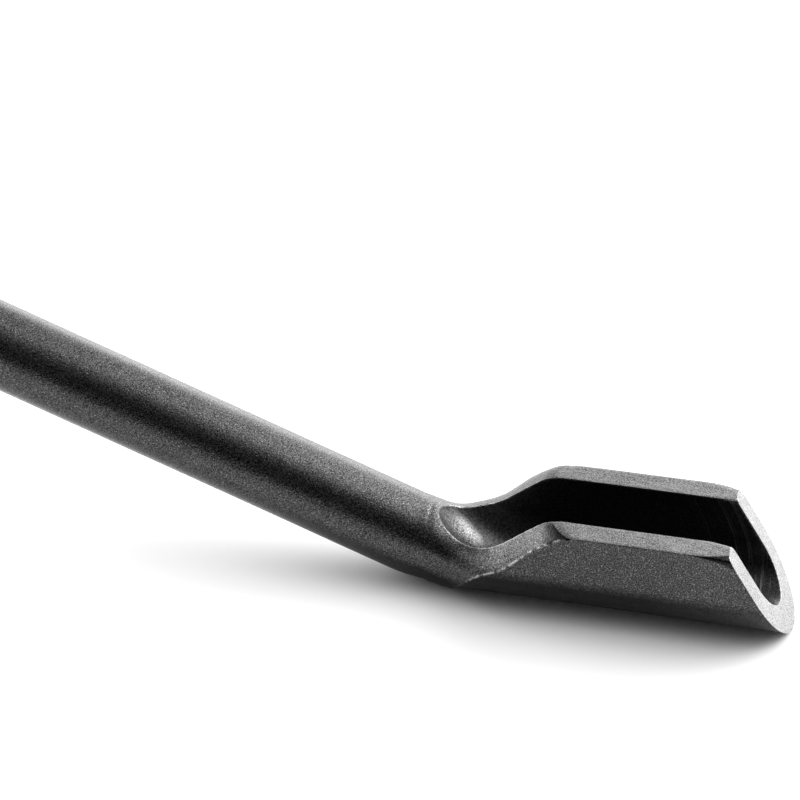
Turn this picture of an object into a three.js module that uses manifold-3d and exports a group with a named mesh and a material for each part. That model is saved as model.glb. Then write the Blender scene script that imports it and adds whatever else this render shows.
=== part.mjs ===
// Gooseneck pry bar: a one-piece forging with a trough-shaped head at one end and a nail claw
// at the other, and a rubber grip held on the shaft by two split clamp collars.
// Millimetres, +Z up. The bar rests as it lies on a bench: the head flat on the floor, the shaft
// rising away from it, and the gooseneck coming back down to the floor at the claw tips.
// Everything is laid out from the heel, the point where the shaft's underside would meet the
// floor, with +X along the head towards its lip. The whole is centred on the origin at the end.
import * as THREE from 'three';
import { mergeVertices } from 'three/addons/utils/BufferGeometryUtils.js';
import Module from 'manifold-3d';

// ---- driving dimensions ----
const SHAFT_RADIUS = 9.5;
const BEND = THREE.MathUtils.degToRad(21); // between the head and the shaft
const HEEL_RADIUS = 26; // of the underside, round the bend

const HEAD = {
  length: 87.7, // heel to lip
  width: 27.9,
  height: 24.7,
  wall: 5.75,
  setback: 15.8, // how far the top of the ground lip lies behind its bottom
};
const TROUGH = {
  radius: HEAD.width / 2 - HEAD.wall,
  runOutStart: 24.2, // from the heel; from there the floor curves up into the neck
  runOutRadius: 19,
};

// Neck and head blank, before trimming. Each station has its distance from the heel, the half
// width of its crown, the height of the widest line, the height of the crown, and how square the
// crown is. Below the widest line the blank is round, and no wider than the finished head.
const BLANK = [
  { x: 5.0, half: 10.0, widest: 9.2, crown: 18.3, square: 2.0 },
  { x: 8.5, half: 10.6, widest: 8.9, crown: 16.8, square: 2.0 },
  { x: 12.0, half: 12.3, widest: 8.8, crown: 15.25, square: 2.15 },
  { x: 14.5, half: 13.6, widest: 9.0, crown: 14.95, square: 2.3 },
  { x: 17.5, half: 14.8, widest: 9.2, crown: 15.4, square: 2.5 },
  { x: 20.6, half: 15.4, widest: 9.5, crown: 16.9, square: 2.8 },
  { x: 23.4, half: 15.8, widest: 10.2, crown: 18.9, square: 3.4 },
  { x: 27.0, half: 16.2, widest: 11.1, crown: 21.7, square: 4.3 },
  { x: 30.7, half: 16.0, widest: 11.9, crown: 24.3, square: 4.9 },
  { x: 34.5, half: 16.3, widest: 12.8, crown: 25.8, square: 5.5 },
  { x: 40.0, half: 16.8, widest: 13.6, crown: 26.4, square: 6.2 },
  { x: 48.0, half: 16.8, widest: 13.95, crown: 26.6, square: 7.0 },
  { x: 60.0, half: 15.6, widest: 13.95, crown: 26.6, square: 6.0 },
  { x: 95.0, half: 14.6, widest: 13.95, crown: 26.0, square: 5.0 },
];

const SHAFT_LENGTH = 262; // heel to the start of the gooseneck
const HOOK = { radius: 38, turn: THREE.MathUtils.degToRad(150), endHalfThickness: 5.4 };
const CLAW = { halfWidth: 15, tipHalfThickness: 0.9, slotMouth: 10.5, slotRoot: 5.4, slotDepth: 30 };

const FIT_GAP = 0.3;
const GRIP = {
  start: 136.5, // from the heel, along the shaft
  length: 111,
  radius: 14.2,
  flangeRadius: 16.2,
  flangeLength: 5,
  flangeEdge: 1.2,
  shoulder: 3, // from a flange down to the ribs
  ribs: 11,
  ribDepth: 1.3,
};
const COLLAR = { radius: 17.5, width: 12, split: 1.2, edge: 0.8, screwOffset: 13.2, seat: 5 };
const SCREW = {
  headRadius: 3.5,
  headHeight: 4,
  shankRadius: 2,
  length: 12,
  keyRadius: 1.7,
  keyDepth: 2,
  edge: 0.4,
  point: 0.6, // length of the chamfer at the screw's end
};

const RING_POINTS = 40;
const ROUND_SEGMENTS = 32;
const SCREW_SEGMENTS = 20;
const FAR = 60; // how far cutters reach past what they cut

const wasm = await Module();
wasm.setup();

// ---- materials ----
const forgedSteel = new THREE.MeshStandardMaterial({ color: 0x35363a, roughness: 0.48, metalness: 0.75 });
const rubber = new THREE.MeshStandardMaterial({ color: 0x17181a, roughness: 0.85, metalness: 0 });
const blackenedSteel = new THREE.MeshStandardMaterial({ color: 0x232427, roughness: 0.4, metalness: 0.8 });
const screwSteel = new THREE.MeshStandardMaterial({ color: 0x1b1c1e, roughness: 0.35, metalness: 0.85 });

// ---- geometry helpers ----
function toSolid(geometry) {
  const bare = geometry.clone();
  bare.deleteAttribute('normal');
  bare.deleteAttribute('uv');
  const merged = mergeVertices(bare, 1e-4);
  return new wasm.Manifold(new wasm.Mesh({
    numProp: 3,
    vertProperties: new Float32Array(merged.attributes.position.array),
    triVerts: new Uint32Array(merged.index.array),
  }));
}

function toGeometry(solid) {
  const mesh = solid.getMesh();
  const geometry = new THREE.BufferGeometry();
  geometry.setAttribute('position', new THREE.BufferAttribute(new Float32Array(mesh.vertProperties), 3));
  geometry.setIndex(new THREE.BufferAttribute(new Uint32Array(mesh.triVerts), 1));
  geometry.computeVertexNormals();
  return geometry;
}

// A closed skin through rings of the same number of points, with a fan over each end. The rings
// run along +X, and the points of each run anticlockwise as seen from +X.
function loft(rings) {
  const count = rings[0].length;
  const points = rings.flat();
  const triangles = [];
  for (let ring = 0; ring + 1 < rings.length; ring += 1) {
    for (let i = 0; i < count; i += 1) {
      const j = (i + 1) % count;
      const a = ring * count + i;
      const b = ring * count + j;
      triangles.push(a, b, b + count, a, b + count, a + count);
    }
  }
  for (const [ring, flip] of [[0, true], [rings.length - 1, false]]) {
    const middle = points.length;
    points.push(rings[ring].reduce((sum, p) => sum.add(p), new THREE.Vector3()).divideScalar(count));
    for (let i = 0; i < count; i += 1) {
      const a = ring * count + i;
      const b = ring * count + ((i + 1) % count);
      triangles.push(middle, ...(flip ? [b, a] : [a, b]));
    }
  }
  const geometry = new THREE.BufferGeometry().setFromPoints(points);
  geometry.setIndex(triangles);
  return geometry;
}

// One cross-section of the bar, in the plane of Y and the given normal: a superellipse, which may
// be of another width and squareness below its widest line than above it.
function section({ centre, normal, half, up, down, square = 2, halfBelow = half, squareBelow = square }) {
  const power = (value, exponent) => Math.sign(value) * Math.abs(value) ** (2 / exponent);
  return Array.from({ length: RING_POINTS }, (_, i) => {
    const angle = (2 * Math.PI * i) / RING_POINTS;
    const above = i <= RING_POINTS / 2;
    const exponent = above ? square : squareBelow;
    const y = (above ? half : halfBelow) * power(Math.cos(angle), exponent);
    const rise = (above ? up : down) * power(Math.sin(angle), exponent);
    return centre.clone().addScaledVector(normal, rise).setY(y);
  });
}

function cylinder(radius, from, to, segments = ROUND_SEGMENTS) {
  const geometry = new THREE.CylinderGeometry(radius, radius, to - from, segments);
  return geometry.rotateX(Math.PI / 2).translate(0, 0, (from + to) / 2);
}

// ---- the bar's centre line ----
const shaftNormal = new THREE.Vector3(Math.sin(BEND), 0, Math.cos(BEND));
const shaftDirection = new THREE.Vector3(-Math.cos(BEND), 0, Math.sin(BEND));

function shaftAxisAt(distance) {
  return shaftNormal.clone().multiplyScalar(SHAFT_RADIUS).addScaledVector(shaftDirection, distance);
}

const hookCentre = shaftAxisAt(SHAFT_LENGTH).addScaledVector(shaftNormal, -HOOK.radius);

function hookNormalAt(turn) {
  const angle = Math.PI / 2 - BEND + turn;
  return new THREE.Vector3(Math.cos(angle), 0, Math.sin(angle));
}

const clawNormal = hookNormalAt(HOOK.turn);
const clawDirection = new THREE.Vector3(-clawNormal.z, 0, clawNormal.x);
const clawStart = hookCentre.clone().addScaledVector(clawNormal, HOOK.radius);
const clawTipHeight = -clawNormal.z * CLAW.tipHalfThickness;
const clawLength = (clawStart.z - clawTipHeight) / -clawDirection.z;

// ---- forged bar ----
function headRings() {
  return BLANK.map(({ x, half, widest, crown, square }) => section({
    centre: new THREE.Vector3(x, 0, widest),
    normal: new THREE.Vector3(0, 0, 1),
    half,
    halfBelow: Math.min(half, HEAD.width / 2),
    up: crown - widest,
    down: widest,
    square,
    squareBelow: 2,
  })).reverse();
}

function bendRings() {
  const start = HEEL_RADIUS * Math.tan(BEND / 2);
  const foot = BLANK[0];
  return [0.35, 0.7, 1].map((part) => {
    const normal = new THREE.Vector3(Math.sin(BEND * part), 0, Math.cos(BEND * part));
    const widest = THREE.MathUtils.lerp(foot.widest, SHAFT_RADIUS, part);
    const centre = new THREE.Vector3(start, 0, HEEL_RADIUS).addScaledVector(normal, widest - HEEL_RADIUS);
    return section({
      centre,
      normal,
      half: THREE.MathUtils.lerp(foot.half, SHAFT_RADIUS, part),
      up: SHAFT_RADIUS,
      down: widest,
    });
  });
}

function shaftRings() {
  const round = { half: SHAFT_RADIUS, up: SHAFT_RADIUS, down: SHAFT_RADIUS };
  return [20, 130, SHAFT_LENGTH].map((distance) => section({
    centre: shaftAxisAt(distance),
    normal: shaftNormal,
    ...round,
  }));
}

function hookRings() {
  const rings = [];
  const steps = 15;
  for (let step = 1; step <= steps; step += 1) {
    const part = step / steps;
    const spread = THREE.MathUtils.smoothstep(part, 0.7, 1.25);
    const thickness = THREE.MathUtils.lerp(SHAFT_RADIUS, HOOK.endHalfThickness, spread);
    const normal = hookNormalAt(HOOK.turn * part);
    rings.push(section({
      centre: hookCentre.clone().addScaledVector(normal, HOOK.radius),
      normal,
      half: THREE.MathUtils.lerp(SHAFT_RADIUS, CLAW.halfWidth, spread),
      up: thickness,
      down: thickness,
      square: 2 + 2 * spread,
    }));
  }
  return rings;
}

function clawRings() {
  const stations = [
    { part: 0.2, half: 0.94, thickness: 6.2, square: 3.6 },
    { part: 0.4, half: 0.99, thickness: 4.6, square: 4.5 },
    { part: 0.7, half: 1.0, thickness: 2.7, square: 6 },
    { part: 0.97, half: 0.98, thickness: 1.1, square: 8 },
    { part: 1, half: 0.93, thickness: CLAW.tipHalfThickness, square: 8 },
  ];
  return stations.map(({ part, half, thickness, square }) => section({
    centre: clawStart.clone().addScaledVector(clawDirection, clawLength * part),
    normal: clawNormal,
    half: CLAW.halfWidth * half,
    up: thickness,
    down: thickness,
    square,
  }));
}

// The trough: round-bottomed and straight-sided. Its floor curves up at the end the way a
// round-nosed disc cutter leaves it.
function troughCutters() {
  const { radius, runOutStart, runOutRadius } = TROUGH;
  const noseCentre = HEAD.wall + radius;
  const nose = Array.from({ length: ROUND_SEGMENTS / 2 + 1 }, (_, i) => {
    const angle = Math.PI + (2 * Math.PI * i) / ROUND_SEGMENTS;
    return [radius * Math.cos(angle), radius * Math.sin(angle)];
  });
  const ringAt = (x) => [
    ...[radius, -radius].map((y) => new THREE.Vector3(x, y, HEAD.height + FAR)),
    ...nose.map(([y, drop]) => new THREE.Vector3(x, y, noseCentre + drop)),
  ];
  const edge = nose.map(([y, drop]) => new THREE.Vector2(runOutRadius - radius - drop, y));
  const disc = [new THREE.Vector2(0, -radius), ...edge, new THREE.Vector2(0, radius)];
  const cutter = new THREE.LatheGeometry(disc, 3 * ROUND_SEGMENTS)
    .translate(runOutStart, 0, HEAD.wall + runOutRadius);
  return [loft([ringAt(runOutStart), ringAt(HEAD.length + FAR)]), cutter];
}

// What the grinding and flash trimming take off: the flat sides, the lands and the lip.
function trimCutters() {
  const [left, right] = [1, -1].map((sign) => new THREE.BoxGeometry(2 * FAR, FAR, 2 * FAR)
    .translate(FAR, sign * (HEAD.width / 2 + FAR / 2), 0));
  const lands = new THREE.BoxGeometry(2 * FAR, FAR, FAR)
    .translate(TROUGH.runOutStart + FAR, 0, HEAD.height + FAR / 2);
  const slope = HEAD.setback / HEAD.height;
  const lip = new THREE.Shape([
    new THREE.Vector2(HEAD.length + slope * FAR, -FAR),
    new THREE.Vector2(HEAD.length + 2 * FAR, -FAR),
    new THREE.Vector2(HEAD.length + 2 * FAR, FAR),
    new THREE.Vector2(HEAD.length - slope * FAR, FAR),
  ]);
  const lipCutter = new THREE.ExtrudeGeometry(lip, { depth: FAR, bevelEnabled: false })
    .rotateX(Math.PI / 2)
    .translate(0, FAR / 2, 0);
  return [left, right, lands, lipCutter];
}

// A tapered slot with a round root, open at the claw's tip. It is drawn with the tip at the
// origin and the claw running along -X, then turned onto the claw.
function slotCutter() {
  const { slotMouth, slotRoot, slotDepth } = CLAW;
  const past = 5;
  const reach = CLAW.halfWidth;
  const outline = new THREE.Shape();
  outline.moveTo(past, slotMouth / 2);
  outline.lineTo(0, slotMouth / 2);
  outline.lineTo(-slotDepth, slotRoot / 2);
  outline.absarc(-slotDepth, 0, slotRoot / 2, Math.PI / 2, 1.5 * Math.PI, false);
  outline.lineTo(0, -slotMouth / 2);
  outline.lineTo(past, -slotMouth / 2);
  outline.closePath();
  const options = { depth: 2 * reach, bevelEnabled: false, curveSegments: 8 };
  const cutter = new THREE.ExtrudeGeometry(outline, options);
  const tip = clawStart.clone().addScaledVector(clawDirection, clawLength);
  const across = new THREE.Vector3(0, 1, 0);
  const through = new THREE.Vector3().crossVectors(clawDirection, across);
  const frame = new THREE.Matrix4().makeBasis(clawDirection, across, through).setPosition(tip);
  return cutter.translate(0, 0, -reach).applyMatrix4(frame);
}

function forgedBar() {
  const fromHeadToClaw = [headRings(), bendRings(), shaftRings(), hookRings(), clawRings()].flat();
  let bar = toSolid(loft(fromHeadToClaw.reverse()));
  for (const cutter of [...trimCutters(), ...troughCutters(), slotCutter()]) {
    bar = bar.subtract(toSolid(cutter));
  }
  return toGeometry(bar);
}

// ---- grip and collars, drawn along X with +X towards the head ----
function turned(profile) {
  const closed = [...profile, profile[0]].map(([along, radius]) => new THREE.Vector2(radius, along));
  return new THREE.LatheGeometry(closed, ROUND_SEGMENTS).rotateZ(-Math.PI / 2);
}

function gripSleeve() {
  const { length, radius, flangeRadius, flangeLength, flangeEdge, shoulder, ribs, ribDepth } = GRIP;
  const bore = SHAFT_RADIUS + FIT_GAP;
  const ribbed = length - 2 * (flangeLength + shoulder);
  const pitch = ribbed / ribs;
  const outer = [[0, flangeRadius - flangeEdge], [flangeEdge, flangeRadius], [flangeLength, flangeRadius]];
  for (let rib = 0; rib < ribs; rib += 1) {
    const start = flangeLength + shoulder + rib * pitch;
    outer.push([start, radius - ribDepth]);
    outer.push([start + pitch * 0.25, radius]);
    outer.push([start + pitch * 0.75, radius]);
  }
  outer.push([length - flangeLength - shoulder, radius - ribDepth]);
  outer.push([length - flangeLength, flangeRadius]);
  outer.push([length - flangeEdge, flangeRadius]);
  outer.push([length, flangeRadius - flangeEdge]);
  return turned([[0, bore], ...outer, [length, bore]]);
}

// Half of a split collar, above the split when sign is 1 and below it when sign is -1.
function collarHalf(sign) {
  const { radius, width, split, edge, screwOffset, seat } = COLLAR;
  const bore = SHAFT_RADIUS + FIT_GAP;
  const ring = turned([
    [0, bore],
    [0, radius - edge],
    [edge, radius],
    [width - edge, radius],
    [width, radius - edge],
    [width, bore],
  ]);
  const away = new THREE.BoxGeometry(FAR, FAR, FAR).translate(0, 0, (sign * (split - FAR)) / 2);
  let half = toSolid(ring).subtract(toSolid(away));
  const clearance = SCREW.shankRadius + FIT_GAP;
  const holeEnd = seat - SCREW.length - split;
  for (const side of [1, -1]) {
    const at = (geometry) => toSolid(geometry.translate(width / 2, side * screwOffset, 0));
    if (sign > 0) {
      half = half.subtract(at(cylinder(clearance, 0, radius, SCREW_SEGMENTS)));
      half = half.subtract(at(cylinder(SCREW.headRadius + FIT_GAP, seat, radius, SCREW_SEGMENTS)));
    } else {
      half = half.subtract(at(cylinder(clearance, holeEnd, 0, SCREW_SEGMENTS)));
    }
  }
  return toGeometry(half);
}

function capScrew() {
  const { headRadius, headHeight, shankRadius, length, keyRadius, keyDepth, edge, point } = SCREW;
  const underHead = COLLAR.seat + FIT_GAP;
  const top = underHead + headHeight;
  const profile = [
    [underHead - length, 0],
    [underHead - length, shankRadius - edge],
    [underHead - length + point, shankRadius],
    [underHead, shankRadius],
    [underHead, headRadius],
    [top - edge, headRadius],
    [top, headRadius - edge],
    [top, 0],
  ].map(([along, radius]) => new THREE.Vector2(radius, along));
  const body = new THREE.LatheGeometry(profile, SCREW_SEGMENTS).rotateX(Math.PI / 2);
  const key = cylinder(keyRadius, top - keyDepth, top + keyDepth, 6);
  return toGeometry(toSolid(body).subtract(toSolid(key)));
}

// ---- assembly ----
function named(name, geometry, material) {
  const mesh = new THREE.Mesh(geometry, material);
  mesh.name = name;
  return mesh;
}

function clampCollar(end, start) {
  const collar = new THREE.Group();
  collar.position.x = -(start + COLLAR.width);
  collar.add(named(`${end}_collar_upper`, collarHalf(1), blackenedSteel));
  collar.add(named(`${end}_collar_lower`, collarHalf(-1), blackenedSteel));
  for (const [side, sign] of [['left', 1], ['right', -1]]) {
    const screw = named(`${end}_screw_${side}`, capScrew(), screwSteel);
    screw.position.set(COLLAR.width / 2, sign * COLLAR.screwOffset, 0);
    collar.add(screw);
  }
  return collar;
}

const grip = new THREE.Group();
grip.position.copy(shaftAxisAt(0));
grip.rotation.y = BEND;
const sleeve = named('grip_sleeve', gripSleeve(), rubber);
sleeve.position.x = -(GRIP.start + GRIP.length);
grip.add(sleeve);
grip.add(clampCollar('front', GRIP.start - FIT_GAP - COLLAR.width));
grip.add(clampCollar('rear', GRIP.start + GRIP.length + FIT_GAP));

const bar = named('forged_bar', forgedBar(), forgedSteel);
const pryBar = new THREE.Group();
pryBar.add(bar, grip);

// The origin is under the middle of the bar's box, at floor level.
const box = new THREE.Box3().setFromBufferAttribute(bar.geometry.attributes.position);
pryBar.position.set(-(box.min.x + box.max.x) / 2, 0, -box.min.z);

export default pryBar;
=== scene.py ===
"""Looks of the gooseneck pry bar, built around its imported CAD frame.

The bar is one forging, so it is one mesh. It is described as a solid in "bar space", where the bar
is straight: s runs along its underside (0 at the heel, positive towards the lip, negative up the
shaft), v is the height above its underside and y is sideways. A dual-contouring mesher turns that
solid into quads that keep its edges sharp, and bend() then carries them round the heel and the
gooseneck. Shapes are written in millimetres and scaled to metres when a mesh is made.
"""
import math

import bpy
import numpy as np
from mathutils import Matrix, Vector


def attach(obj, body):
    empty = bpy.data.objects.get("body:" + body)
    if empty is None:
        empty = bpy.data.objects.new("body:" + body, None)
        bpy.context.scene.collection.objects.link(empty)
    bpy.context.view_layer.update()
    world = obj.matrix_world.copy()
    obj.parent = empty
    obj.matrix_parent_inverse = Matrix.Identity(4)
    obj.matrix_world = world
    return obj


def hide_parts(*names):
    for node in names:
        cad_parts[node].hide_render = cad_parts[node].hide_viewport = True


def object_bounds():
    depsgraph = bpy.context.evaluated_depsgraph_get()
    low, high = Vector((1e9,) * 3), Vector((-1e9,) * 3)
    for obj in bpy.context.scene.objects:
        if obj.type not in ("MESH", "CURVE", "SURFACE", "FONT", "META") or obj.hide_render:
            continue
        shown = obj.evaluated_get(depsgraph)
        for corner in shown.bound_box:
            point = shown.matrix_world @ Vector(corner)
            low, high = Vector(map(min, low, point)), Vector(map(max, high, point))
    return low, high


MM = 0.001

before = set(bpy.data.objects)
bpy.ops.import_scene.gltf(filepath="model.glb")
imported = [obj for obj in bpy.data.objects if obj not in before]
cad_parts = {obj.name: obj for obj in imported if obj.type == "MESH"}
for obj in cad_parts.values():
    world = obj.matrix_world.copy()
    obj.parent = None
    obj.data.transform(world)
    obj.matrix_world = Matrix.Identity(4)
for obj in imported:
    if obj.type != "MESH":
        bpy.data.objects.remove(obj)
cad_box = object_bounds()

# ---- driving dimensions, in millimetres ----
SHAFT_RADIUS = 9.5
BEND = math.radians(21)
HEEL_RADIUS = 26.0

HEAD_LENGTH = 87.7
HEAD_WIDTH = 27.9
HEAD_HEIGHT = 24.7
WALL = 5.75
LIP_SETBACK = 15.8
LIP_SLOPE = LIP_SETBACK / HEAD_HEIGHT
HALF_WIDTH = HEAD_WIDTH / 2

TROUGH_RADIUS = HALF_WIDTH - WALL
TROUGH_RUN_OUT_START = 24.2
TROUGH_RUN_OUT_RADIUS = 19.0

SHAFT_LENGTH = 262.0
HOOK_RADIUS = 38.0
HOOK_TURN = math.radians(150)
CLAW_HALF_WIDTH = 15.0
CLAW_TIP_HALF = 0.9
SLOT_MOUTH = 10.5
SLOT_ROOT = 5.4
SLOT_DEPTH = 30.0

# The grip's places are distances from the heel along the shaft.
GRIP_START = 136.5
GRIP_LENGTH = 111.0
GRIP_RADIUS = 14.2
GRIP_FLANGE = 16.2
GRIP_BORE = 9.8
GRIP_RIBS = 11
COLLAR_STARTS = {"front": 124.2, "rear": 247.8}
COLLAR_WIDTH = 12.0
COLLAR_RADIUS = 17.4
COLLAR_SPLIT = 1.2
SCREW_OFFSET = 13.2
SCREW_SEAT = 5.0
SCREW_HEAD_RADIUS = 3.5
SCREW_HEAD_TOP = 9.3
SCREW_HEAD_BOTTOM = 5.3
SCREW_END = -6.7
SCREW_SHANK_RADIUS = 2.0
SCREW_KEY = 1.7

# The heel's place in the row frame: the lip's tip is the object's highest X.
HEEL_X = cad_box[1].x / MM - HEAD_LENGTH

# ---- the bar's path ----
BEND_TANGENT = HEEL_RADIUS * math.tan(BEND / 2)
BEND_START = BEND_TANGENT
BEND_END = BEND_START - HEEL_RADIUS * BEND
HOOK_START = BEND_END - (SHAFT_LENGTH - BEND_TANGENT)
HOOK_INSIDE = HOOK_RADIUS - SHAFT_RADIUS
HOOK_END = HOOK_START - HOOK_INSIDE * HOOK_TURN
HOOK_FIRST_ANGLE = math.pi / 2 - BEND
HOOK_LAST_ANGLE = HOOK_FIRST_ANGLE + HOOK_TURN

SHAFT_NORMAL = np.array([math.sin(BEND), math.cos(BEND)])
SHAFT_UP = np.array([-math.cos(BEND), math.sin(BEND)])
HOOK_CENTRE = SHAFT_UP * SHAFT_LENGTH - SHAFT_NORMAL * HOOK_INSIDE
CLAW_NORMAL = np.array([math.cos(HOOK_LAST_ANGLE), math.sin(HOOK_LAST_ANGLE)])
CLAW_WAY = np.array([-CLAW_NORMAL[1], CLAW_NORMAL[0]])
CLAW_START = HOOK_CENTRE + CLAW_NORMAL * HOOK_RADIUS
CLAW_LENGTH = (CLAW_START[1] + CLAW_NORMAL[1] * CLAW_TIP_HALF) / -CLAW_WAY[1]
CLAW_END = HOOK_END - CLAW_LENGTH


def bend(points):
    """Bar-space points (s, v, y) to places in the row frame, in metres."""
    s, v, y = points.T
    on_head = np.stack([s, v])
    turn = (BEND_START - np.clip(s, BEND_END, BEND_START)) / HEEL_RADIUS
    round_heel = np.stack([
        BEND_START - (HEEL_RADIUS - v) * np.sin(turn),
        HEEL_RADIUS - (HEEL_RADIUS - v) * np.cos(turn),
    ])
    up_shaft = BEND_TANGENT + (BEND_END - s)
    on_shaft = SHAFT_UP[:, None] * up_shaft + SHAFT_NORMAL[:, None] * v
    angle = HOOK_FIRST_ANGLE + (HOOK_START - np.clip(s, HOOK_END, HOOK_START)) / HOOK_INSIDE
    round_hook = HOOK_CENTRE[:, None] + (HOOK_INSIDE + v) * np.stack([np.cos(angle), np.sin(angle)])
    on_claw = (CLAW_START[:, None] + CLAW_WAY[:, None] * (HOOK_END - s)
               + CLAW_NORMAL[:, None] * (v - SHAFT_RADIUS))
    parts = [s >= BEND_START, s >= BEND_END, s >= HOOK_START, s >= HOOK_END]
    x, z = np.select(parts, [on_head, round_heel, on_shaft, round_hook], on_claw)
    return np.stack([x + HEEL_X, y, z], axis=1) * MM


def on_shaft(points):
    """Points (distance from the heel, y, height above the shaft's axis), in the row frame."""
    distance, y, height = points.T
    return bend(np.stack([BEND_END + BEND_TANGENT - distance, SHAFT_RADIUS + height, y], axis=1))


# ---- the bar's shape ----
# Cross-sections of the blank: place along the bar, half width, underside, widest line, crown, and
# the squareness of the part above and below the widest line (2 is round).
NECK = [
    (95.0, 16.8, 0, 13.95, 26.6, 7.0, 2),
    (48.0, 16.8, 0, 13.95, 26.6, 7.0, 2),
    (40.0, 16.8, 0, 13.6, 26.4, 6.2, 2),
    (34.5, 16.3, 0, 12.8, 25.8, 5.5, 2),
    (30.7, 16.0, 0, 11.9, 24.3, 4.9, 2),
    (27.0, 16.2, 0, 11.1, 21.7, 4.3, 2),
    (23.4, 15.8, 0, 10.2, 18.9, 3.4, 2),
    (20.6, 15.4, 0, 9.5, 16.9, 2.8, 2),
    (17.5, 14.8, 0, 9.2, 15.4, 2.5, 2.15),
    (14.5, 13.6, 0, 9.0, 14.95, 2.3, 2.25),
    (12.0, 12.3, 0, 8.8, 15.25, 2.15, 2.4),
    (8.5, 10.6, 0, 8.9, 16.8, 2.0, 2.6),
    (5.0, 10.0, 0, 9.2, 18.3, 2.0, 2.3),
    (2.4, 9.7, 0, 9.4, 18.75, 2.0, 2),
    (0.0, 9.55, 0, 9.45, 18.9, 2.0, 2),
    (-2.4, 9.5, 0, 9.5, 18.97, 2.0, 2),
    (-4.8, 9.5, 0, 9.5, 19.0, 2.0, 2),
    (-10.0, 9.5, 0, 9.5, 19.0, 2.0, 2),
]
NECK_END = -10
# The dies met a little out of line, so the neck's right side lies further forward than its left.
NECK_SKEW = 0.1  # millimetres along the bar for each millimetre sideways
NECK_BOW = 0.011  # the same for each square millimetre, on the right side only
NECK_BOW_REACH = 12


def claw_stations():
    """The claw's cross-sections, from where the gooseneck starts to spread to the claw's tips."""
    middle = SHAFT_RADIUS
    rows = [(HOOK_START - 0.62 * (HOOK_START - HOOK_END), SHAFT_RADIUS, SHAFT_RADIUS, 2.0)]
    rows.append((HOOK_END, 12.6, 7.2, 3.1))
    for part, half, thickness, square in [
        (0.2, 14.1, 6.1, 3.6),
        (0.4, 14.85, 4.6, 4.5),
        (0.7, CLAW_HALF_WIDTH, 2.7, 6.0),
        (0.97, 14.7, 1.1, 8.0),
        (1.0, 13.95, CLAW_TIP_HALF, 8.0),
    ]:
        rows.append((HOOK_END - CLAW_LENGTH * part, half, thickness, square))
    return [(s, half, middle - thick, middle, middle + thick, square, square)
            for s, half, thick, square in rows]


def smooth_curves(rows):
    """A monotone cubic through each column of rows, as a function of the first column."""
    table = np.array(sorted(rows), float)
    knots, values = table[:, 0], table[:, 1:]
    width = np.diff(knots)[:, None]
    slope = np.diff(values, axis=0) / width
    tangent = np.zeros_like(values)
    before, after = slope[:-1], slope[1:]
    same_way = before * after > 0
    with np.errstate(divide="ignore", invalid="ignore"):
        harmonic = 2 * before * after / (before + after)
    tangent[1:-1] = np.where(same_way, harmonic, 0)

    def at(s):
        i = np.clip(np.searchsorted(knots, s) - 1, 0, len(knots) - 2)
        h = width[i, 0]
        t = np.clip((s - knots[i]) / h, 0, 1)
        t, h = t[:, None], h[:, None]
        return (values[i] * (2 * t**3 - 3 * t**2 + 1) + values[i + 1] * (3 * t**2 - 2 * t**3)
                + tangent[i] * h * (t**3 - 2 * t**2 + t) + tangent[i + 1] * h * (t**3 - t**2)).T

    return at


blank_at = smooth_curves(NECK + claw_stations())


def both(a, b, radius):
    """The solid inside both a and b, with the edge between them rounded to about radius."""
    mix = np.clip(0.5 + 0.5 * (a - b) / radius, 0, 1)
    return b + (a - b) * mix + radius * mix * (1 - mix)


def without(a, b, radius):
    return both(a, -b, radius)


def blank(s, v, y):
    """The forging before trimming: negative inside, about the distance in millimetres."""
    further = NECK_SKEW * y - NECK_BOW * np.clip(y, -NECK_BOW_REACH, 0) ** 2
    skewed = np.where(s > NECK_END, s + further, s)
    half, under, widest, crown, square_above, square_below = blank_at(skewed)
    above = v > widest
    reach = np.where(above, crown - widest, widest - under)
    square = np.where(above, square_above, square_below)
    power = (np.abs(y) / half) ** square + (np.abs(v - widest) / reach) ** square
    return (power ** (1 / square) - 1) * np.minimum(half, reach)


def trim(s, v, y):
    """The U the head is trimmed to, round below and flat-sided above. It leaves the blank at the
    neck, running down and under it."""
    side = np.abs(y)
    u_shape = np.where(v < HALF_WIDTH, np.hypot(side, v - HALF_WIDTH) - HALF_WIDTH, side - HALF_WIDTH)
    return u_shape - 3.0 * np.clip((15 - s) / 12, 0, 1) ** 1.5


def trim_line(s, v, y):
    """1 on the thin line where the trim meets the blank, where a highlight is painted; 0 away from it.
    """
    off_both = np.abs(blank(s, v, y)) + np.abs(trim(s, v, y))
    fade = np.clip((s - 12) / 6, 0, 1) * np.clip((37 - s) / 4, 0, 1)
    return np.clip(1.3 - off_both / 0.14, 0, 1) * fade


def trough_cut(s, v, y):
    """The trough, negative inside. Its floor curves up at the end the way a round-nosed disc
    cutter leaves it."""
    behind = np.minimum(s - TROUGH_RUN_OUT_START, 0)
    under_axle = np.minimum(v - WALL - TROUGH_RUN_OUT_RADIUS, 0)
    past_nose = np.hypot(behind, under_axle) - (TROUGH_RUN_OUT_RADIUS - TROUGH_RADIUS)
    return np.hypot(y, np.maximum(past_nose, 0)) - TROUGH_RADIUS


def nail_slot(to_tip, y):
    """The claw's slot, tapered towards a round root: negative inside."""
    side = np.abs(y)
    taper = math.atan((SLOT_MOUTH - SLOT_ROOT) / 2 / SLOT_DEPTH)
    walls = (side - SLOT_MOUTH / 2 + to_tip * math.tan(taper)) * math.cos(taper)
    root = np.hypot(side, to_tip - SLOT_DEPTH) - SLOT_ROOT / 2
    return np.where(to_tip < SLOT_DEPTH, walls, root)


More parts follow.
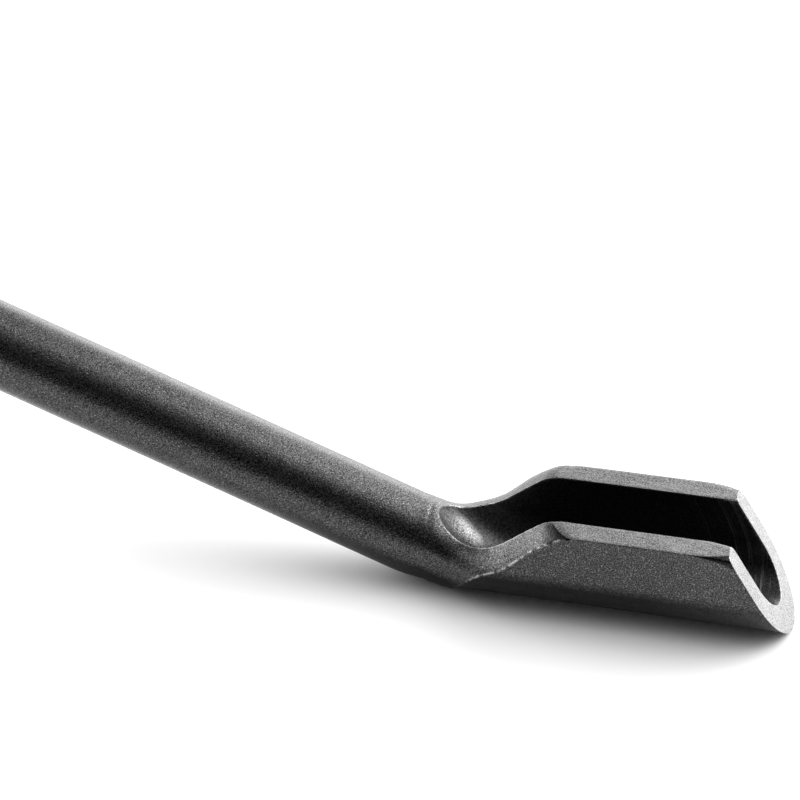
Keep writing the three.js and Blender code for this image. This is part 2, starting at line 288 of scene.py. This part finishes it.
def head_solid(s, v, y):
    """The head and neck, without the lip: negative inside."""
    # The neck runs into the ground lands in a soft bend.
    land_start = 0.12 + 1.3 * np.clip((40 - s) / 6, 0, 1)
    solid = both(blank(s, v, y), v - HEAD_HEIGHT, land_start)
    solid = both(solid, trim(s, v, y), 0.15)

    # The lands' outer corners are rounded off towards the lip.
    right_corner = 1.5 * np.clip((s - 64) / 10, 0, 1) ** 2
    left_corner = 1.5 * np.clip((s - 65.5) / 7, 0, 1) ** 2
    rounding = 0.2 + np.where(y < 0, right_corner, left_corner)
    corner = (np.abs(y) + v - HALF_WIDTH - HEAD_HEIGHT + rounding * 0.8) / math.sqrt(2)
    solid = both(solid, corner, rounding)

    # The trough. Its edges with the lands are rounded off too, next to the lip.
    trough_edge = 0.3 + 1.5 * np.clip((s - 66.5) / 5.5, 0, 1) ** 2
    return without(solid, trough_cut(s, v, y), trough_edge)


def bar_solid(s, v, y):
    """The finished bar in bar space: negative inside."""
    solid = np.where(s > NECK_END, head_solid(s, v, y), blank(s, v, y))
    lip = (s - HEAD_LENGTH + LIP_SLOPE * v) / math.hypot(1, LIP_SLOPE)
    solid = both(solid, lip, 0.15)
    to_tip = s - CLAW_END
    solid = np.where(s < HOOK_START, without(solid, nail_slot(to_tip, y), 0.6), solid)
    return both(solid, -to_tip, 0.4)


# ---- materials ----
class Nodes:
    """A node tree, with short ways to add and join nodes."""

    def __init__(self, tree):
        self.tree = tree

    def add(self, kind, inputs=None, **settings):
        node = self.tree.nodes.new("ShaderNode" + kind)
        for key, value in settings.items():
            setattr(node, key, value)
        for key, value in (inputs or {}).items():
            self.put(node.inputs[key], value)
        return node

    def put(self, socket, value):
        if isinstance(value, bpy.types.NodeSocket):
            self.tree.links.new(value, socket)
        else:
            socket.default_value = value

    def place(self):
        return self.add("TexCoord").outputs["Object"]

    def noise(self, feature, detail=2.0, roughness=0.5, vector=None):
        """Noise whose features are about that many millimetres across."""
        return self.add("TexNoise", {
            "Vector": vector or self.place(),
            "Scale": 1 / (feature * MM),
            "Detail": detail,
            "Roughness": roughness,
        }).outputs["Fac"]

    def math(self, operation, *values):
        node = self.add("Math", operation=operation)
        for socket, value in zip(node.inputs, values):
            self.put(socket, value)
        return node.outputs[0]

    def times(self, first, *others):
        """The product of the values."""
        for other in others:
            first = self.math("MULTIPLY", first, other)
        return first

    def invert(self, mask):
        return self.math("SUBTRACT", 1.0, mask)

    def span(self, value, low, high, to_low=0.0, to_high=1.0):
        """value from low to high, mapped to the other two and held at them beyond."""
        node = self.add("MapRange", {
            "Value": value, "From Min": low, "From Max": high,
            "To Min": to_low, "To Max": to_high,
        })
        return node.outputs["Result"]

    def blend(self, factor, first, second):
        node = self.add("Mix", data_type="RGBA")
        self.put(node.inputs["Factor"], factor)
        colours = [socket for socket in node.inputs if socket.type == "RGBA"]
        for socket, value in zip(colours, (first, second)):
            self.put(socket, value)
        return [socket for socket in node.outputs if socket.type == "RGBA"][0]

    def mix(self, factor, first, second):
        """A number that goes from first to second as factor goes from 0 to 1."""
        return self.add("Mix", {"Factor": factor, "A": first, "B": second}).outputs["Result"]

    def length(self, first, second):
        pair = self.add("CombineXYZ", {"X": first, "Y": second}).outputs["Vector"]
        return self.add("VectorMath", {0: pair}, operation="LENGTH").outputs["Value"]

    def over(self, value, edge, soft=0.03):
        """1 where value is above the edge and 0 below, in millimetres."""
        return self.span(value, (edge - soft) * MM, (edge + soft) * MM)

    def bump(self, height):
        """Relief, from a height in millimetres."""
        return self.add("Bump", {"Height": height, "Distance": MM, "Strength": 1.0}).outputs["Normal"]


class Material(Nodes):
    """A new material with a Principled shader."""

    def __init__(self, name):
        self.material = bpy.data.materials.new(name)
        self.material.use_nodes = True
        super().__init__(self.material.node_tree)

    def finish(self, **inputs):
        """The material, with its shader's inputs set; their names have _ for a space."""
        shader = self.tree.nodes["Principled BSDF"]
        for key, value in inputs.items():
            self.put(shader.inputs[key.replace("_", " ")], value)
        return self.material


def grey(value):
    return (value, value, value, 1.0)


def blasted(n):
    """Shot-blasted steel under a dark phosphate coat: colour with painted glints, roughness and
    relief.
    """
    grain = n.noise(0.34, detail=2, roughness=0.7)
    painted_glints = n.noise(0.26, detail=1, roughness=0.5)
    mottle = n.noise(5.0, detail=3, roughness=0.6)
    tone = n.math("ADD", n.span(grain, 0.4, 0.6), n.span(mottle, 0.3, 0.7, -0.07, 0.07))
    colour = n.blend(tone, grey(0.014), grey(0.082))
    # Bright specks over the grain: painted glints.
    colour = n.blend(n.span(painted_glints, 0.6, 0.74), colour, grey(0.22))
    roughness = n.span(grain, 0.3, 0.7, 0.2, 0.34)
    relief = n.math("ADD", n.times(grain, 0.07), n.times(mottle, 0.025))
    return colour, roughness, relief


def ground(n, x, y, z, lip):
    """Bare steel off a grinding belt: a fine stipple, with shallow arcs along the lands. The lip's
    face is coloured lighter than the lands: painted light on the same finish.
    """
    bow = n.math("POWER", n.math("DIVIDE", n.math("SUBTRACT", x, 52 * MM), 60 * MM), 2.0)
    across = n.math("ADD", y, n.times(bow, 22 * MM))
    belt = n.add("CombineXYZ", {"X": n.times(x, 0.06), "Y": across, "Z": z})
    scratches = n.noise(0.35, detail=2, roughness=0.6, vector=belt.outputs["Vector"])
    stipple = n.noise(0.28, detail=2, roughness=0.75)
    marks = n.mix(n.mix(lip, 0.16, 0.0), stipple, scratches)
    cloud = n.noise(5.0, detail=3)
    tone = n.math("ADD", n.span(marks, 0.42, 0.58), n.span(cloud, 0.3, 0.7, -0.1, 0.1))
    # The lip's lighter colour is painted light: it shares the lands' ground finish.
    dark = n.blend(lip, grey(0.035), grey(0.16))
    light = n.blend(lip, grey(0.26), grey(0.52))
    roughness = n.span(marks, 0.3, 0.7, 0.34, 0.44)
    return n.blend(tone, dark, light), roughness, n.times(marks, 0.03)


def milled(n, x, y, z):
    """The trough's wall: dark, with the cutter's arcs showing towards the lip, and lighter towards
    the run-out, which carries a painted highlight, brighter on its left."""
    grain = n.noise(0.42, detail=2, roughness=0.7)
    fan = n.math("POWER", n.math("DIVIDE", n.math("SUBTRACT", z, 4 * MM), 30 * MM), 2.0)
    arc = n.math("ADD", x, n.times(fan, 14 * MM))
    along = n.add("CombineXYZ", {"X": arc, "Y": n.times(y, 0.06), "Z": 0.0})
    cuts = n.noise(0.6, detail=2, roughness=0.6, vector=along.outputs["Vector"])
    tone = n.span(grain, 0.3, 0.7)
    seen = n.times(n.span(cuts, 0.57, 0.72), n.span(x, 45 * MM, 72 * MM))
    wall = n.blend(seen, n.blend(tone, grey(0.008), grey(0.04)), grey(0.12))
    rough = n.blend(tone, grey(0.02), grey(0.13))
    wall = n.blend(n.span(x, 30 * MM, 14 * MM), wall, rough)

    # A painted highlight on the run-out's bowl, where x + z is under 23.9 mm; brighter on its left.
    painted_highlight = n.invert(n.over(n.math("ADD", x, z), 23.9, 0.7))
    right = n.blend(tone, grey(0.04), grey(0.2))
    left = n.blend(tone, grey(0.12), grey(0.48))
    painted_highlight_colour = n.blend(n.span(y, -1 * MM, 3.5 * MM), right, left)
    roughness = n.span(grain, 0.3, 0.7, 0.26, 0.4)
    relief = n.math("ADD", n.times(grain, 0.05), n.times(cuts, 0.05))
    return n.blend(painted_highlight, wall, painted_highlight_colour), roughness, relief


def on_lands(n, x, y, z):
    """1 on the ground lands. They are also bare where they bend down: into the neck at their
    rear, and into the trough next to the lip."""
    at_rear = n.span(x, 34 * MM, 40 * MM, 0.32 * MM, 0.06 * MM)
    inner = n.span(n.math("ABSOLUTE", y), (HALF_WIDTH - 2.5) * MM, (HALF_WIDTH - 3.5) * MM)
    at_lip = n.times(n.span(x, 66 * MM, 71 * MM, 0.0, 0.4 * MM), inner)
    raised = n.math("ADD", z, n.math("ADD", at_rear, at_lip))
    return n.times(n.over(raised, HEAD_HEIGHT), n.over(x, 25))


def on_lip(n, x, z):
    """1 on the lip's ground face."""
    return n.over(n.math("ADD", x, n.times(z, LIP_SLOPE)), HEAD_LENGTH - 0.08)


def in_trough(n, x, y, z):
    """1 on the trough's wall and run-out, from the same distances as in trough_cut()."""
    behind = n.math("MINIMUM", n.math("SUBTRACT", x, TROUGH_RUN_OUT_START * MM), 0.0)
    axle = (WALL + TROUGH_RUN_OUT_RADIUS) * MM
    under_axle = n.math("MINIMUM", n.math("SUBTRACT", z, axle), 0.0)
    nose = (TROUGH_RUN_OUT_RADIUS - TROUGH_RADIUS) * MM
    past_nose = n.math("SUBTRACT", n.length(behind, under_axle), nose)
    reach = n.length(n.math("MAXIMUM", past_nose, 0.0), y)
    return n.times(n.invert(n.over(reach, TROUGH_RADIUS + 0.12)), n.over(x, 2))


def edge_wear(n, x, outer, bare):
    """1 where an edge is worn bright: less ahead of the neck's dip, and not at all on the lands'
    outer edges or on bare steel."""
    edge = n.add("Attribute", attribute_name="edge").outputs["Fac"]
    patchy = n.span(n.noise(3.0, detail=3), 0.3, 0.7, 0.5, 1.5)
    worn = n.span(n.times(edge, patchy), 0.02, 0.16)
    return n.times(worn, n.invert(bare), n.span(x, 10 * MM, 22 * MM, 1.0, 0.3), n.invert(outer))


def crease_glint_line(n):
    """1 along the broken line where the trim meets the neck: a painted highlight on that crease."""
    line = n.add("Attribute", attribute_name="painted_crease_highlight").outputs["Fac"]
    return n.times(line, n.span(n.noise(1.2, detail=3, roughness=0.7), 0.42, 0.56))


def bar_steel():
    """The forging's finishes: blasted all over, milled in the trough, ground on lands and lip."""
    n = Material("bar_steel")
    place = n.add("SeparateXYZ", {"Vector": n.place()})
    x = n.math("SUBTRACT", place.outputs["X"], HEEL_X * MM)
    y, z = place.outputs["Y"], place.outputs["Z"]
    lip = on_lip(n, x, z)
    bare = n.math("MAXIMUM", on_lands(n, x, y, z), lip)

    colour, roughness, relief = blasted(n)
    trough, steel = milled(n, x, y, z), ground(n, x, y, z, lip)
    for mask, finish in ((in_trough(n, x, y, z), trough), (bare, steel)):
        colour = n.blend(mask, colour, finish[0])
        roughness = n.mix(mask, roughness, finish[1])
        relief = n.mix(mask, relief, finish[2])

    # Where the lands' outer edges turn down, and under the head and neck, shade is painted: the colour
    # is made near black there.
    facing = n.add("SeparateXYZ", {"Vector": n.add("NewGeometry").outputs["Normal"]}).outputs["Z"]
    outer = n.times(n.over(n.math("ABSOLUTE", y), HALF_WIDTH - 4.5), n.over(x, 33, 2))
    # The shoulder mask: painted shade along the lands' outer edges where they turn down.
    shoulder = n.times(n.span(facing, 0.1, 0.2), n.over(z, HEAD_HEIGHT - 3.2, 0.5))
    shoulder = n.times(shoulder, n.span(x, 66 * MM, 72 * MM, 1.0, 0.7), outer, n.invert(bare))
    # Painted shade under the head and neck, which is also made rougher.
    shaded_underside = n.times(n.span(facing, -0.05, -0.25), n.over(x, -12, 20))
    shaded_underside = n.times(shaded_underside, n.span(x, 55 * MM, 85 * MM, 0.85, 0.3))
    for mask, painted_shade in ((shoulder, 0.003), (shaded_underside, 0.004)):
        colour = n.blend(mask, colour, grey(painted_shade))

    # A painted highlight: a broken light line along the crease where the trim meets the neck.
    colour = n.blend(crease_glint_line(n), colour, grey(0.4))
    return n.finish(
        Base_Color=n.blend(edge_wear(n, x, outer, bare), colour, grey(0.4)),
        Metallic=0.9,
        Roughness=n.mix(shaded_underside, roughness, 0.6),
        Normal=n.bump(relief),
    )


def along_shaft(n):
    """How far along the shaft a point is, in metres."""
    way = (float(SHAFT_UP[0]), 0.0, float(SHAFT_UP[1]))
    return n.add("VectorMath", {0: n.place(), 1: way}, operation="DOT_PRODUCT").outputs["Value"]


def grip_rubber():
    """Moulded black rubber: matt, with a fine leathery grain and a little dust."""
    n = Material("grip_rubber")
    pores = n.add("TexVoronoi", {"Vector": n.place(), "Scale": 1 / (0.7 * MM)}).outputs["Distance"]
    dust = n.noise(9.0, detail=4, roughness=0.6)
    return n.finish(
        Base_Color=n.blend(n.span(dust, 0.45, 0.75), grey(0.016), grey(0.034)),
        Roughness=n.span(dust, 0.4, 0.7, 0.58, 0.74),
        Normal=n.bump(n.times(pores, 0.05)),
    )


def collar_steel():
    """Turned steel, blackened: fine lines round the axis that wander a little."""
    n = Material("collar_steel")
    turns = n.add("CombineXYZ", {"X": along_shaft(n)}).outputs["Vector"]
    wander = n.add("VectorMath", {0: n.place(), 1: (0.06, 0.06, 0.06)}, operation="MULTIPLY")
    turns = n.add("VectorMath", {0: turns, 1: wander.outputs["Vector"]}, operation="ADD")
    lines = n.noise(0.25, detail=3, roughness=0.7, vector=turns.outputs["Vector"])
    patina = n.noise(5.0, detail=4, roughness=0.6)
    return n.finish(
        Base_Color=n.blend(n.span(patina, 0.35, 0.7), grey(0.035), grey(0.085)),
        Metallic=0.9,
        Roughness=n.span(lines, 0.3, 0.7, 0.28, 0.44),
        Normal=n.bump(n.times(lines, 0.02)),
    )


def screw_steel():
    """Black-oxide steel, slightly oily."""
    n = Material("screw_steel")
    film = n.noise(1.6, detail=3)
    return n.finish(
        Base_Color=n.blend(film, grey(0.03), grey(0.06)),
        Metallic=0.9,
        Roughness=n.span(film, 0.3, 0.7, 0.24, 0.38),
        Normal=n.bump(n.times(n.noise(0.3), 0.01)),
    )


# ---- the mesher ----
def contour(solid, axes):
    """Dual contouring of solid over a grid: quads, vertices in grid space, and each vertex's
    sharpness, from 0 on a flat surface to 1 on an edge."""
    grid = np.meshgrid(*axes, indexing="ij")
    shape = grid[0].shape
    value = np.concatenate([
        solid(*(g[rows].ravel() for g in grid))
        for rows in np.array_split(np.arange(shape[0]), 16)
    ]).reshape(shape)
    inside = value < 0
    cells = tuple(n - 1 for n in shape)

    points, normals, owners, quads = [], [], [], []
    for axis in range(3):
        lower = tuple(slice(0, -1) if a == axis else slice(1, -1) for a in range(3))
        upper = tuple(slice(1, None) if a == axis else slice(1, -1) for a in range(3))
        crossing = np.argwhere(inside[lower] != inside[upper])
        index = crossing + [0 if a == axis else 1 for a in range(3)]
        ahead = index.copy()
        ahead[:, axis] += 1
        start = np.stack([axes[a][index[:, a]] for a in range(3)], 1)
        end = np.stack([axes[a][ahead[:, a]] for a in range(3)], 1)
        starts_in = inside[tuple(index.T)]
        low, high = np.zeros(len(index)), np.ones(len(index))
        for _ in range(10):
            half = (low + high) / 2
            test = start + (end - start) * half[:, None]
            same = (solid(*test.T) < 0) == starts_in
            low, high = np.where(same, half, low), np.where(same, high, half)
        point = start + (end - start) * ((low + high) / 2)[:, None]
        points.append(point)
        normals.append(gradient(solid, point))

        one, two = [a for a in range(3) if a != axis]
        around = []
        for step_one, step_two in [(-1, -1), (0, -1), (0, 0), (-1, 0)]:
            cell = index.copy()
            cell[:, one] += step_one
            cell[:, two] += step_two
            around.append(np.ravel_multi_index(cell.T, cells))
        around = np.stack(around, 1)
        owners.append(around)
        flip = starts_in if axis == 1 else ~starts_in
        quads.append(np.where(flip[:, None], around[:, ::-1], around))

    points, normals = np.concatenate(points), np.concatenate(normals)
    owners, quads = np.concatenate(owners), np.concatenate(quads)
    used, slots = np.unique(owners, return_inverse=True)
    slots = slots.reshape(owners.shape)
    count = np.bincount(slots.ravel(), minlength=len(used)).astype(float)

    def gather(values):
        return np.bincount(slots.ravel(), np.repeat(values, 4), minlength=len(used))

    middle = np.stack([gather(points[:, a]) for a in range(3)], 1) / count[:, None]
    outer = np.einsum("ni,nj->nij", normals, normals)
    matrix = np.stack([gather(outer[:, i, j]) for i in range(3) for j in range(3)], 1)
    matrix = matrix.reshape(-1, 3, 3)
    reach = np.einsum("ni,ni->n", normals, points)
    aim = np.stack([gather(normals[:, a] * reach) for a in range(3)], 1)
    aim -= np.einsum("nij,nj->ni", matrix, middle)
    matrix += np.eye(3) * (0.02 * count)[:, None, None]
    shift = np.linalg.solve(matrix, aim[:, :, None])[:, :, 0]
    corner = np.stack(np.unravel_index(used, cells), 1)
    size = np.stack([np.diff(axes[a])[corner[:, a]] for a in range(3)], 1)
    vertices = middle + np.clip(shift, -0.6 * size, 0.6 * size)
    spread = np.stack([gather(normals[:, a]) for a in range(3)], 1)
    sharpness = 1 - np.linalg.norm(spread, axis=1) / count
    return vertices, np.searchsorted(used, quads), sharpness


def gradient(solid, point, step=0.02):
    """Unit normals of solid at the given points."""
    parts = []
    for axis in range(3):
        offset = np.zeros(3)
        offset[axis] = step
        parts.append(solid(*(point + offset).T) - solid(*(point - offset).T))
    normal = np.stack(parts, 1)
    return normal / np.maximum(np.linalg.norm(normal, axis=1, keepdims=True), 1e-12)


def stretches(*pieces):
    """Grid lines along the bar: each piece is (from, to, spacing)."""
    lines = [np.arange(start, end, (end - start) / max(1, round((end - start) / spacing)))
             for start, end, spacing in pieces]
    lines = np.concatenate(lines + [[pieces[-1][1]]])
    return lines[np.concatenate([[True], np.diff(lines) > 1e-6])]


def mesh_object(name, vertices, faces, smooth_angle=32):
    mesh = bpy.data.meshes.new(name)
    mesh.from_pydata(vertices.tolist(), [], [list(face) for face in faces])
    mesh.validate()
    mesh.shade_smooth()
    mesh.set_sharp_from_angle(angle=math.radians(smooth_angle))
    piece = bpy.data.objects.new(name, mesh)
    bpy.context.scene.collection.objects.link(piece)
    return piece


def make_bar():
    fine = 0.4
    along = stretches(
        (CLAW_END - 1.3, CLAW_END + 34, 2 * fine),
        (CLAW_END + 34, HOOK_START, 4 * fine),
        (HOOK_START, -8, 10 * fine),
        (-8, 42, fine),
        (42, 68, 2 * fine),
        (68, HEAD_LENGTH + 1.3, fine),
    )
    upwards = np.linspace(-0.7, HEAD_HEIGHT + 0.9, round(26.3 / fine))
    across = np.linspace(-16.1, 16.1, 2 * round(16.1 / fine) + 1)
    vertices, quads, sharpness = contour(bar_solid, (along, upwards, across))
    places = bend(vertices)
    places[:, 2] = np.maximum(places[:, 2], 0)
    bar = mesh_object("bar", places, quads[:, ::-1])
    bar.data.materials.append(bar_steel())
    # The second attribute marks the crease where a highlight is painted.
    marks = {"edge": sharpness, "painted_crease_highlight": trim_line(*vertices.T)}
    for name, values in marks.items():
        attribute = bar.data.attributes.new(name, "FLOAT", "POINT")
        attribute.data.foreach_set("value", values.astype(np.float32))
    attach(bar, "root")
    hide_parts("forged_bar")


# ---- the grip ----
def skin(rings, loop=False):
    """Faces between rings of equal numbers of points; the ends are joined, or closed by fans."""
    count, size = rings.shape[:2]
    vertices = rings.reshape(-1, 3)
    grid = np.arange(count * size).reshape(count, size)
    around = np.roll(grid, -1, axis=1)
    after, after_around = np.roll(grid, -1, axis=0), np.roll(around, -1, axis=0)
    rows = slice(None) if loop else slice(0, -1)
    faces = np.stack([grid, around, after_around, after], -1)[rows].reshape(-1, 4).tolist()
    if not loop:
        ends = rings[[0, -1]].mean(axis=1)
        vertices = np.concatenate([vertices, ends])
        faces += [[b, a, len(vertices) - 2] for a, b in zip(grid[0], around[0])]
        faces += [[a, b, len(vertices) - 1] for a, b in zip(grid[-1], around[-1])]
    return vertices, faces


def turned(profile, segments):
    """Rings about the shaft's axis, from (distance, radius) pairs."""
    angle = np.linspace(0, 2 * math.pi, segments, endpoint=False)
    distance, radius = np.array(profile).T
    return np.stack([
        np.broadcast_to(distance[:, None], (len(distance), segments)),
        radius[:, None] * np.cos(angle),
        radius[:, None] * np.sin(angle),
    ], axis=-1)


def rounded(corners, radius, steps=5):
    """The closed outline through corners, with each corner rounded off."""
    points = []
    corners = np.array(corners, float)
    for before, here, after in zip(np.roll(corners, 1, axis=0), corners, np.roll(corners, -1, axis=0)):
        back, on = before - here, after - here
        reach = min(radius, 0.45 * np.linalg.norm(back), 0.45 * np.linalg.norm(on))
        start = here + back / np.linalg.norm(back) * reach
        end = here + on / np.linalg.norm(on) * reach
        for t in np.linspace(0, 1, steps):
            points.append((1 - t) ** 2 * start + 2 * t * (1 - t) * here + t * t * end)
    return points


def make_sleeve():
    """The stretched-on rubber grip: a flange at each end and broad rounded ribs between."""
    end = GRIP_START + GRIP_LENGTH
    flange, shoulder, dip = 5.0, 3.0, 1.3
    first = GRIP_START + flange + shoulder
    pitch = (GRIP_LENGTH - 2 * (flange + shoulder)) / GRIP_RIBS
    flange_radius = GRIP_FLANGE - 0.1
    corners = [(GRIP_START, GRIP_BORE), (GRIP_START, flange_radius), (first - shoulder, flange_radius)]
    for rib in range(GRIP_RIBS):
        start = first + rib * pitch
        corners.append((start, GRIP_RADIUS - dip))
        corners.append((start + pitch * 0.22, GRIP_RADIUS))
        corners.append((start + pitch * 0.78, GRIP_RADIUS))
    corners.append((end - flange - shoulder, GRIP_RADIUS - dip))
    corners += [(end - flange, flange_radius), (end, flange_radius), (end, GRIP_BORE)]
    rings = turned(rounded(corners, 1.6), 96)
    vertices, faces = skin(rings[:, ::-1], loop=True)
    sleeve = mesh_object("sleeve", on_shaft(vertices), faces)
    sleeve.data.materials.append(grip_rubber())
    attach(sleeve, "root")
    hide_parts("grip_sleeve")


def collar_solid(half):
    """Half of a split collar about its middle: above the split for half 1, below it for -1."""

    def solid(x, y, z):
        out = np.hypot(y, z)
        ring = both(out - COLLAR_RADIUS, GRIP_BORE - out, 0.1)
        ring = both(ring, np.abs(x) - COLLAR_WIDTH / 2, 1.2)
        piece = both(ring, COLLAR_SPLIT / 2 - half * z, 0.3)
        from_screw = np.hypot(x, np.abs(y) - SCREW_OFFSET)
        hole = both(from_screw - SCREW_SHANK_RADIUS - 0.3, SCREW_END - 1.0 - z, 0.2)
        counterbore = both(from_screw - SCREW_HEAD_RADIUS - 0.3, SCREW_SEAT - z, 0.2)
        return without(without(piece, hole, 0.2), counterbore, 0.5)

    return solid


def make_collar(end, collar_finish, screw_finish):
    middle = COLLAR_STARTS[end] + COLLAR_WIDTH / 2
    fine = 0.45
    for side, half in (("upper", 1), ("lower", -1)):
        along = np.linspace(-6.7, 6.7, round(13.4 / fine))
        across = np.linspace(-18.2, 18.2, round(36.4 / fine))
        out = np.sort(np.linspace(0.1, 18.3, round(18.2 / fine)) * half)
        vertices, quads, _ = contour(collar_solid(half), (along, across, out))
        vertices[:, 0] += middle
        collar = mesh_object(f"{end}_collar_{side}_half", on_shaft(vertices), quads[:, ::-1])
        collar.data.materials.append(collar_finish)
        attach(collar, "root")
        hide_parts(f"{end}_collar_{side}")
    for side, sign in (("left", 1), ("right", -1)):
        rings = cap_screw_rings() + [middle, sign * SCREW_OFFSET, 0]
        vertices, faces = skin(rings)
        screw = mesh_object(f"{end}_{side}_cap_screw", on_shaft(vertices), faces)
        screw.data.materials.append(screw_finish)
        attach(screw, "root")
        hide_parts(f"{end}_screw_{side}")


def cap_screw_rings():
    """A socket-head cap screw from its end up, over the knurled head and down into the socket."""
    size = 72
    angle = np.linspace(0, 2 * math.pi, size, endpoint=False)
    circle = np.stack([np.cos(angle), -np.sin(angle)], 1)
    knurl = 1 - 0.035 * (np.arange(size) % 2)[:, None]
    flat = np.cos((angle + math.pi / 6) % (math.pi / 3) - math.pi / 6)[:, None]
    hexagon = circle * math.cos(math.pi / 6) / flat
    head, shank = SCREW_HEAD_RADIUS, SCREW_SHANK_RADIUS
    top, bottom = SCREW_HEAD_TOP, SCREW_HEAD_BOTTOM
    rings = [
        (circle * (shank - 0.5), SCREW_END),
        (circle * shank, SCREW_END + 0.6),
        (circle * shank, bottom - 0.02),
        (circle * (shank + 0.05), bottom),
        (circle * (head - 0.2), bottom),
        (circle * head * knurl, bottom + 0.2),
        (circle * head * knurl, top - 0.7),
        (circle * (head - 0.15), top - 0.55),
        (circle * (head - 0.15), top - 0.35),
        (circle * (head - 0.5), top),
        (circle * (SCREW_KEY + 0.35), top),
        (hexagon * SCREW_KEY, top - 0.3),
        (hexagon * SCREW_KEY, top - 2.0),
        (hexagon * 0.4, top - 2.3),
    ]
    return np.array([[(x, y, height) for x, y in outline] for outline, height in rings])


make_bar()
make_sleeve()
finishes = collar_steel(), screw_steel()
make_collar("front", *finishes)
make_collar("rear", *finishes)

# ---- stage, light and camera ----
VIEW_AZIMUTH = math.radians(12.9)
VIEW_ELEVATION = math.radians(32.9)
CAMERA_LENS = 85.5
CAMERA_DISTANCE = 21.72 * 2 * SHAFT_RADIUS
# Where the aim is in the frame, as parts of the frame's width.
RIGHT_OF_CENTRE = 0.41763
BELOW_CENTRE = 0.1525
SENSOR_WIDTH = 36


def make_camera():
    """Looks at the head from its right, a little from above, so that the lip is at the right edge
    of the frame. The aim is the middle of the lip's top edge, placed right of and below centre."""
    right = Vector((math.cos(VIEW_AZIMUTH), math.sin(VIEW_AZIMUTH), 0))
    back = Vector((math.sin(VIEW_AZIMUTH) * math.cos(VIEW_ELEVATION),
                   -math.cos(VIEW_AZIMUTH) * math.cos(VIEW_ELEVATION), math.sin(VIEW_ELEVATION)))
    up = back.cross(right)
    aim = Vector((HEEL_X + HEAD_LENGTH - LIP_SETBACK, 0, HEAD_HEIGHT))
    width = CAMERA_DISTANCE * SENSOR_WIDTH / CAMERA_LENS
    eye = aim + back * CAMERA_DISTANCE + (up * BELOW_CENTRE - right * RIGHT_OF_CENTRE) * width
    data = bpy.data.cameras.new("camera")
    data.lens = CAMERA_LENS
    data.sensor_width = SENSOR_WIDTH
    data.clip_start, data.clip_end = 0.01, 20
    camera = bpy.data.objects.new("camera", data)
    bpy.context.scene.collection.objects.link(camera)
    camera.matrix_world = Matrix((
        (right.x, up.x, back.x, eye.x * MM),
        (right.y, up.y, back.y, eye.y * MM),
        (right.z, up.z, back.z, eye.z * MM),
        (0, 0, 0, 1),
    ))
    bpy.context.scene.camera = camera


make_camera()


# Soft lights far off round the table: elevation and azimuth in degrees, as the camera sees them
# (0 is straight ahead, positive to the right), and strength.
LIGHTS = [
    (3, -48, 3.7),
    (3, -16, 2.2),
    (3, 16, 5.4),
    (3, 48, 1.3),
    (30, -65, 5.8),
    (30, 35, 2.7),
    (30, 65, 8.0),
    (30, 98, 2.8),
    (12, -98, 1.2),
    (60, -90, 1.5),
    (60, 90, 4.0),
]
LIGHT_SPREAD = math.radians(17)


def make_floor():
    bpy.ops.mesh.primitive_grid_add(x_subdivisions=2, y_subdivisions=2, size=12, location=(0, 0, 0))
    floor = bpy.context.object
    floor.name = "floor"
    floor.data.materials.append(Material("floor_white").finish(Base_Color=grey(0.86), Roughness=0.8))


def make_studio():
    """A dark room with the soft lights, which fade out from their middles."""
    world = bpy.data.worlds.new("studio")
    bpy.context.scene.world = world
    world.use_nodes = True
    n = Nodes(world.node_tree)
    ahead = Vector((-math.sin(VIEW_AZIMUTH), math.cos(VIEW_AZIMUTH), 0))
    right = Vector((math.cos(VIEW_AZIMUTH), math.sin(VIEW_AZIMUTH), 0))
    way = n.add("TexCoord").outputs["Generated"]
    total = 0.0
    for elevation, azimuth, strength in LIGHTS:
        up, round_ = math.radians(elevation), math.radians(azimuth)
        centre = math.cos(up) * (math.cos(round_) * ahead + math.sin(round_) * right)
        centre.z = math.sin(up)
        facing = n.add("VectorMath", {0: way, 1: tuple(centre)}, operation="DOT_PRODUCT")
        off = n.math("SUBTRACT", facing.outputs["Value"], 1.0)
        off = n.math("DIVIDE", off, 0.7 * LIGHT_SPREAD**2)
        glow = n.math("MULTIPLY", n.math("EXPONENT", off), strength)
        total = n.math("ADD", glow, total)
    background = n.tree.nodes["Background"]
    background.inputs["Color"].default_value = grey(1)
    n.put(background.inputs["Strength"], total)


make_floor()
make_studio()

bpy.context.scene.view_settings.view_transform = "Standard"
